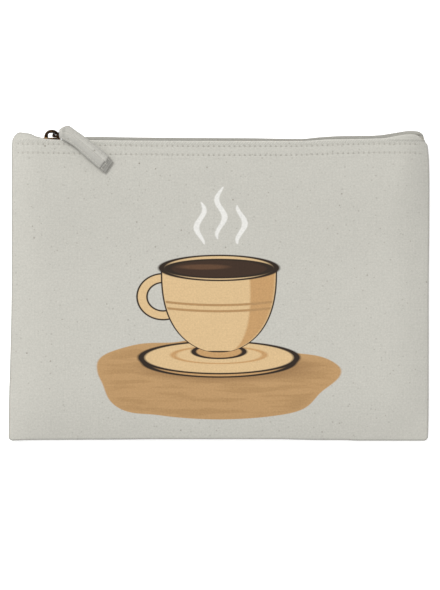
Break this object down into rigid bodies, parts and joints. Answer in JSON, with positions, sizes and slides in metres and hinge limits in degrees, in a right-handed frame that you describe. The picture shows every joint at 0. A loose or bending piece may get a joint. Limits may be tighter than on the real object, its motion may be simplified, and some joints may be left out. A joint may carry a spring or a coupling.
{
  "type": "zippered pouch",
  "caption": "Flat rectangular canvas pouch with double-topstitched lips, a metal zip along its top edge and a folded canvas zip pull.",
  "frame": {"origin": "centre of the flat resting face on the pouch's back", "axes": "+X along the zip from the closed slider towards the bottom stop, +Y from the bottom seam to the zip, +Z out of the resting face through the front"},
  "size_m": [0.249, 0.1867, 0.0173],
  "materials": {
    "canvas": "plain-weave natural cotton canvas, matt",
    "tape": "herringbone woven tape, matt",
    "thread": "spun polyester thread",
    "antique_brass": "antiqued, dark with rubbed bright edges"
  },
  "bodies": {
    "pouch": {"back_panel": "canvas", "front_panel_left": "canvas", "front_panel_right": "canvas", "left_seam_allowance": "canvas", "right_seam_allowance": "canvas", "bottom_seam_allowance": "canvas", "left_overlock_thread": "thread", "right_overlock_thread": "thread", "bottom_overlock_thread": "thread", "zip_tape_back": "tape", "zip_tape_front_left": "tape", "zip_tape_front_right": "tape", "zip_teeth_back": "antique_brass", "zip_teeth_front_left": "antique_brass", "zip_teeth_front_right": "antique_brass", "zip_top_stops": "antique_brass", "zip_bottom_stop": "antique_brass", "front_topstitch_left": "thread", "front_topstitch_right": "thread", "back_topstitch": "thread"},
    "mouth": {"front_panel_middle": "canvas", "zip_tape_front_middle": "tape", "zip_teeth_front_middle": "antique_brass", "front_topstitch_middle": "thread"},
    "slider": {"slider_body": "antique_brass", "slider_crown": "antique_brass"},
    "ring": {"pull_ring": "antique_brass"},
    "strip": {"pull_strip": "canvas", "pull_strip_stitching": "thread"}
  },
  "joints": [
    {"name": "zip_slide", "type": "slide", "parent": "pouch", "child": "slider", "axis": [1, 0, 0], "range_m": [0, 0.192], "deforming": ["zip_teeth_back", "zip_teeth_front_left", "zip_teeth_front_middle", "zip_teeth_front_right"]},
    {"name": "ring_swing", "type": "hinge", "parent": "slider", "child": "ring", "pos_m": [-0.0974, 0.0918, 0.0065], "axis": [0, -0.2756, 0.9613], "range_deg": [0, 70]},
    {"name": "strip_swing", "type": "hinge", "parent": "ring", "child": "strip", "pos_m": [-0.0922, 0.0918, 0.0065], "axis": [0, -0.2756, 0.9613], "range_deg": [0, 40]},
    {"name": "mouth_open", "type": "hinge", "parent": "pouch", "child": "mouth", "pos_m": [0, -0.0895, 0.0024], "axis": [1, 0, 0], "range_deg": [0, 10]}
  ]
}
